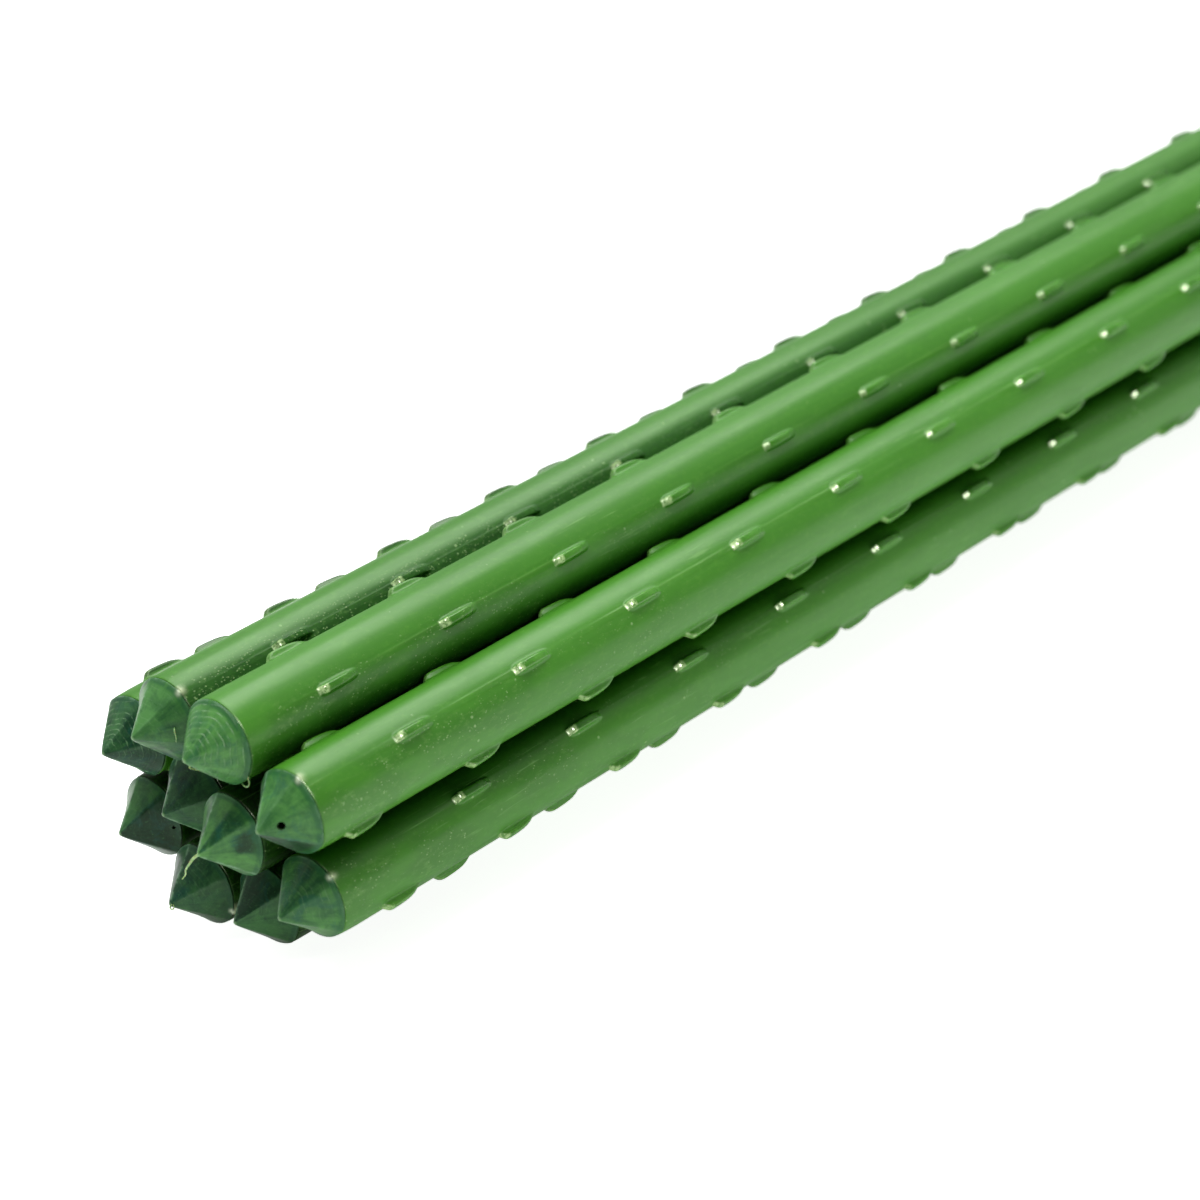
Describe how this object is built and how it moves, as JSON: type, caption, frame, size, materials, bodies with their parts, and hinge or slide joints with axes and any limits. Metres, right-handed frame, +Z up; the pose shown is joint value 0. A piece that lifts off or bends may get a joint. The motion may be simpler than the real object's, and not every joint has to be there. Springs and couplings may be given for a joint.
{
  "type": "driveway marker pack",
  "caption": "Strapped pack of slim pointed driveway marker stakes: green nubbed plastic coating over steel tube, moulded tips and caps; each draws out lengthwise.",
  "frame": {"origin": "middle of the pack's underside, level with the flat undersides of its two straps and half way along its length", "axes": "+Y along the markers from the pointed tips to the domed caps, +Z up, +X across the pack"},
  "size_m": [0.0514, 0.9068, 0.0401],
  "materials": {
    "green_coating": "satin moulded polyethylene, light green sheen, rows of small raised nubs",
    "green_tip": "moulded polyethylene, darker and slightly bluish, waxy",
    "green_cap": "moulded polyethylene, satin",
    "steel_tube": "drawn and welded thin tube, plain",
    "black_strap": "embossed polypropylene strapping"
  },
  "bodies": {
    "pack": {"strap_front": "black_strap", "strap_rear": "black_strap", "marker_j_tube": "steel_tube", "marker_j_sheath": "green_coating", "marker_j_tip": "green_tip", "marker_j_cap": "green_cap"},
    "marker_a": {"marker_a_tube": "steel_tube", "marker_a_sheath": "green_coating", "marker_a_tip": "green_tip", "marker_a_cap": "green_cap"},
    "marker_b": {"marker_b_tube": "steel_tube", "marker_b_sheath": "green_coating", "marker_b_tip": "green_tip", "marker_b_cap": "green_cap"},
    "marker_c": {"marker_c_tube": "steel_tube", "marker_c_sheath": "green_coating", "marker_c_tip": "green_tip", "marker_c_cap": "green_cap"},
    "marker_d": {"marker_d_tube": "steel_tube", "marker_d_sheath": "green_coating", "marker_d_tip": "green_tip", "marker_d_cap": "green_cap"},
    "marker_e": {"marker_e_tube": "steel_tube", "marker_e_sheath": "green_coating", "marker_e_tip": "green_tip", "marker_e_cap": "green_cap"},
    "marker_f": {"marker_f_tube": "steel_tube", "marker_f_sheath": "green_coating", "marker_f_tip": "green_tip", "marker_f_cap": "green_cap"},
    "marker_g": {"marker_g_tube": "steel_tube", "marker_g_sheath": "green_coating", "marker_g_tip": "green_tip", "marker_g_cap": "green_cap"},
    "marker_h": {"marker_h_tube": "steel_tube", "marker_h_sheath": "green_coating", "marker_h_tip": "green_tip", "marker_h_cap": "green_cap"},
    "marker_i": {"marker_i_tube": "steel_tube", "marker_i_sheath": "green_coating", "marker_i_tip": "green_tip", "marker_i_cap": "green_cap"}
  },
  "joints": [
    {"name": "marker_a_draw", "type": "slide", "parent": "pack", "child": "marker_a", "axis": [0, 1, 0], "range_m": [0, 0.95]},
    {"name": "marker_b_draw", "type": "slide", "parent": "pack", "child": "marker_b", "axis": [0, 1, 0], "range_m": [0, 0.95]},
    {"name": "marker_c_draw", "type": "slide", "parent": "pack", "child": "marker_c", "axis": [0, 1, 0], "range_m": [0, 0.95]},
    {"name": "marker_d_draw", "type": "slide", "parent": "pack", "child": "marker_d", "axis": [0, 1, 0], "range_m": [0, 0.95]},
    {"name": "marker_e_draw", "type": "slide", "parent": "pack", "child": "marker_e", "axis": [0, 1, 0], "range_m": [0, 0.95]},
    {"name": "marker_f_draw", "type": "slide", "parent": "pack", "child": "marker_f", "axis": [0, 1, 0], "range_m": [0, 0.95]},
    {"name": "marker_g_draw", "type": "slide", "parent": "pack", "child": "marker_g", "axis": [0, 1, 0], "range_m": [0, 0.95]},
    {"name": "marker_h_draw", "type": "slide", "parent": "pack", "child": "marker_h", "axis": [0, 1, 0], "range_m": [0, 0.95]},
    {"name": "marker_i_draw", "type": "slide", "parent": "pack", "child": "marker_i", "axis": [0, 1, 0], "range_m": [0, 0.95]}
  ]
}
